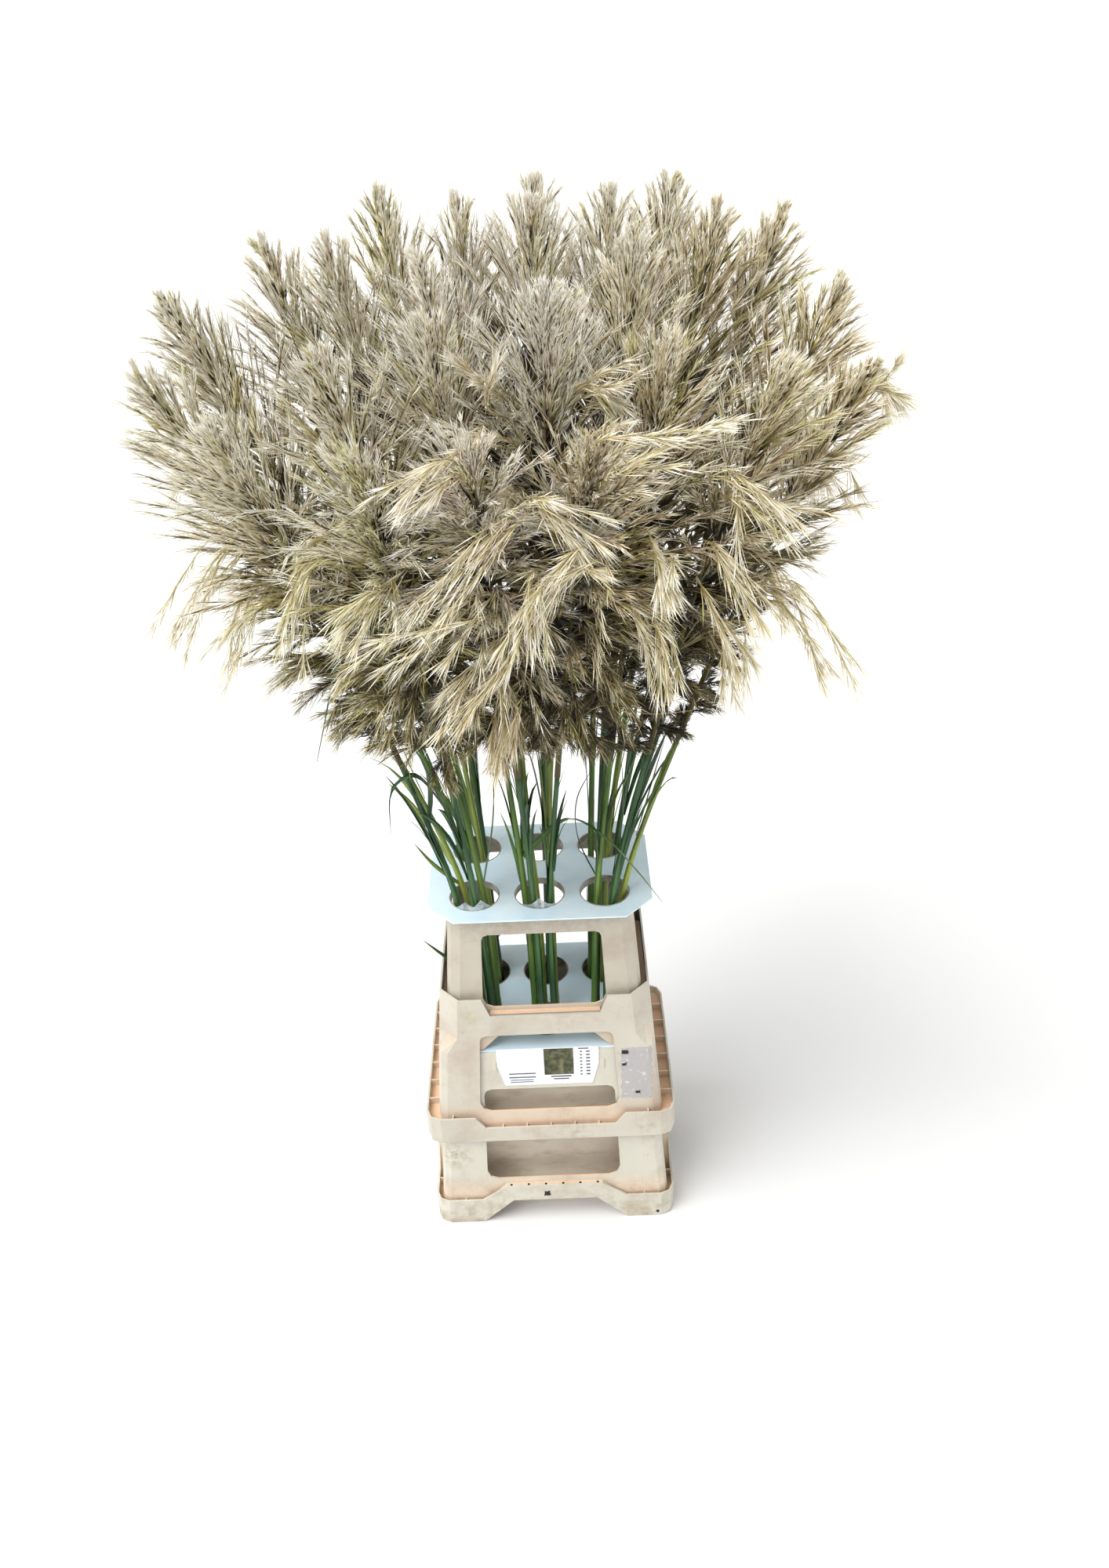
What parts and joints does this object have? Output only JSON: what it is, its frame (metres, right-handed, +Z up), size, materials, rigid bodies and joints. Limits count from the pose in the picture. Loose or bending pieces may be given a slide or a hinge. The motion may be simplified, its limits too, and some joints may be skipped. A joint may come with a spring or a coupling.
{
  "type": "pampas grass plumes in transport container",
  "caption": "Bunch of tall feathery pampas grass plumes on green leafy stems, standing in a stacked plastic flower transport container with clear hole sheets.",
  "frame": {"origin": "centre of the container's footprint, on the floor", "axes": "+Z up along the stems; -Y is the front, with the label card; +X is to the right seen from the front"},
  "size_m": [0.9341, 0.6797, 1.575],
  "materials": {
    "cream_plastic": "matte",
    "clear_sheet": "gloss",
    "white_card": "matte",
    "bucket_plastic": "matte",
    "water": "gloss",
    "green_stem": "satin",
    "beige_plume": "matte"
  },
  "bodies": {
    "root": {"base_stand": "cream_plastic", "middle_collar": "cream_plastic", "top_riser": "cream_plastic", "lower_hole_sheet": "clear_sheet", "upper_hole_sheet": "clear_sheet", "label_card": "white_card", "water_bucket": "bucket_plastic", "water": "water", "stem_01": "green_stem", "stem_02": "green_stem", "stem_03": "green_stem", "stem_04": "green_stem", "stem_05": "green_stem", "stem_06": "green_stem", "stem_07": "green_stem", "stem_08": "green_stem", "stem_09": "green_stem", "stem_10": "green_stem", "stem_11": "green_stem", "stem_12": "green_stem", "stem_13": "green_stem", "stem_14": "green_stem", "stem_15": "green_stem", "stem_16": "green_stem", "stem_17": "green_stem", "stem_18": "green_stem", "stem_19": "green_stem", "stem_20": "green_stem", "stem_21": "green_stem", "stem_22": "green_stem", "stem_23": "green_stem", "stem_24": "green_stem", "stem_25": "green_stem", "plume_01": "beige_plume", "plume_02": "beige_plume", "plume_03": "beige_plume", "plume_04": "beige_plume", "plume_05": "beige_plume", "plume_06": "beige_plume", "plume_07": "beige_plume", "plume_08": "beige_plume", "plume_09": "beige_plume", "plume_10": "beige_plume", "plume_11": "beige_plume", "plume_12": "beige_plume", "plume_13": "beige_plume", "plume_14": "beige_plume", "plume_15": "beige_plume", "plume_16": "beige_plume", "plume_17": "beige_plume", "plume_18": "beige_plume", "plume_19": "beige_plume", "plume_20": "beige_plume", "plume_21": "beige_plume", "plume_22": "beige_plume", "plume_23": "beige_plume", "plume_24": "beige_plume", "plume_25": "beige_plume"}
  },
  "joints": []
}
